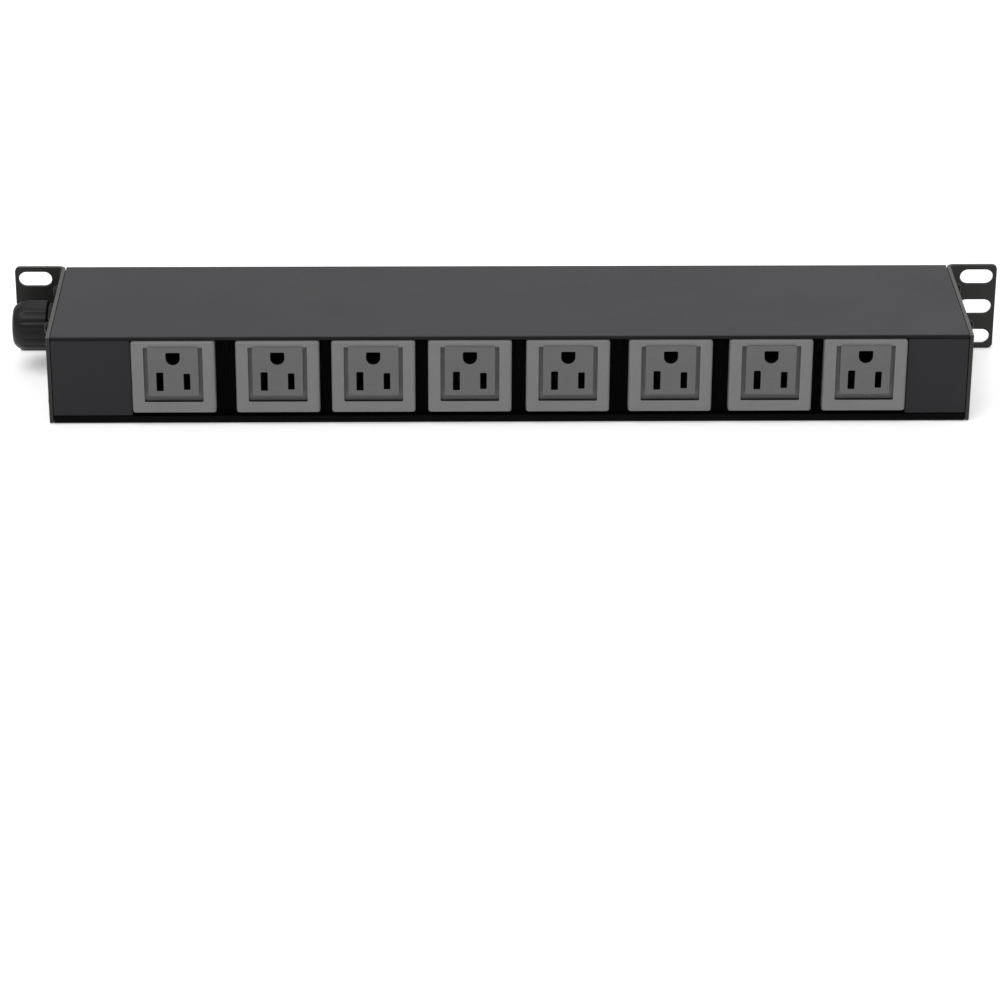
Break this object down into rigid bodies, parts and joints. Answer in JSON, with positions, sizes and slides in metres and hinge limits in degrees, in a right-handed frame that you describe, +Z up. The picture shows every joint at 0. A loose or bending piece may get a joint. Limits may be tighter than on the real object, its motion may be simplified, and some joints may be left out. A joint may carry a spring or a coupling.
{
  "type": "rack power strip",
  "caption": "Rack-width power strip, one unit high: grounded outlets along the rear; guarded lit rocker switch and reset button in front; slotted ears and a cord gland at the ends.",
  "frame": {"origin": "middle of the bounding box in X and Y, on the plane of the underside", "axes": "+X to the right seen from the switch side and along the longest side, +Y towards the outlets, +Z up"},
  "size_m": [0.4826, 0.1018, 0.0444],
  "materials": {
    "shell_paint": "satin fine texture powder coat, charcoal",
    "ear_paint": "satin powder coat, dark charcoal",
    "panel_paint": "matt moulded, near black",
    "blank_paint": "smooth satin, warm near black",
    "outlet_panel_plastic": "matt black",
    "outlet_plastic": "matt moulded, mid grey",
    "screw_steel": "black oxide steel",
    "gland_plastic": "matt black moulded",
    "seal_rubber": "matt rubber",
    "guard_clear": "clear polished moulding",
    "guard_frame_plastic": "satin black moulded",
    "switch_plastic": "satin black moulded",
    "rocker_red": "translucent red, lit from inside",
    "lamp_glass": "glass indicator lamp",
    "button_red": "orange red moulded",
    "contact_brass": "stamped brass",
    "busbar_brass": "stamped brass strip",
    "pin_steel": "bright steel",
    "block_nylon": "natural nylon",
    "wire_black": "black insulation",
    "wire_white": "white insulation",
    "wire_green": "green insulation"
  },
  "bodies": {
    "case": {"top_shell": "shell_paint", "bottom_shell": "shell_paint", "end_bracket_left": "ear_paint", "end_bracket_right": "ear_paint", "rear_blank_gland_end": "panel_paint", "rear_blank_far_end": "panel_paint", "switch_panel": "panel_paint", "breaker_panel": "panel_paint", "front_end_filler": "panel_paint", "breaker_bezel": "panel_paint", "front_blank": "blank_paint", "outlet_panel": "outlet_panel_plastic", "outlet_1": "outlet_plastic", "outlet_2": "outlet_plastic", "outlet_3": "outlet_plastic", "outlet_4": "outlet_plastic", "outlet_5": "outlet_plastic", "outlet_6": "outlet_plastic", "outlet_7": "outlet_plastic", "outlet_8": "outlet_plastic", "end_screw_left_1": "screw_steel", "end_screw_left_2": "screw_steel", "end_screw_left_3": "screw_steel", "end_screw_left_4": "screw_steel", "end_screw_right_1": "screw_steel", "end_screw_right_2": "screw_steel", "end_screw_right_3": "screw_steel", "end_screw_right_4": "screw_steel", "gland_body": "gland_plastic", "gland_dome_nut": "gland_plastic", "gland_locknut": "gland_plastic", "gland_seal": "seal_rubber", "guard_frame": "guard_frame_plastic", "switch_body": "switch_plastic", "breaker_body": "switch_plastic", "switch_terminal_supply": "contact_brass", "switch_terminal_load": "contact_brass", "switch_terminal_lamp": "contact_brass", "breaker_terminal_line": "contact_brass", "breaker_terminal_load": "contact_brass", "busbar_line": "busbar_brass", "busbar_neutral": "busbar_brass", "busbar_ground": "busbar_brass", "guard_hinge_pin": "pin_steel", "ground_stud": "pin_steel", "ground_nut": "pin_steel", "terminal_block": "block_nylon", "wire_line_feed": "wire_black", "wire_line_to_switch": "wire_black", "wire_line_to_busbar": "wire_black", "wire_neutral": "wire_white", "wire_ground": "wire_green", "wire_ground_bond": "wire_green"},
    "guard": {"guard_cover": "guard_clear"},
    "rocker": {"switch_rocker": "rocker_red", "switch_lamp": "lamp_glass"},
    "contact": {"moving_contact": "contact_brass"},
    "button": {"breaker_button": "button_red"}
  },
  "joints": [
    {"name": "guard_hinge", "type": "hinge", "parent": "case", "child": "guard", "pos_m": [-0.1966, -0.0453, 0.024], "axis": [0, 0, -1], "range_deg": [0, 110]},
    {"name": "rocker_tilt", "type": "hinge", "parent": "case", "child": "rocker", "pos_m": [-0.1758, -0.0379, 0.024], "axis": [0, 0, 1], "range_deg": [0, 20]},
    {"name": "contact_tilt", "type": "hinge", "parent": "case", "child": "contact", "pos_m": [-0.1758, -0.0233, 0.024], "axis": [0, 0, 1], "range_deg": [-12, 0]},
    {"name": "button_slide", "type": "slide", "parent": "case", "child": "button", "axis": [0, -1, 0], "range_m": [-0.0015, 0.004], "stiffness_N_per_m": 400}
  ],
  "couplings": [
    {"joint": "contact_tilt", "follows": "rocker_tilt", "ratio": -0.6}
  ]
}
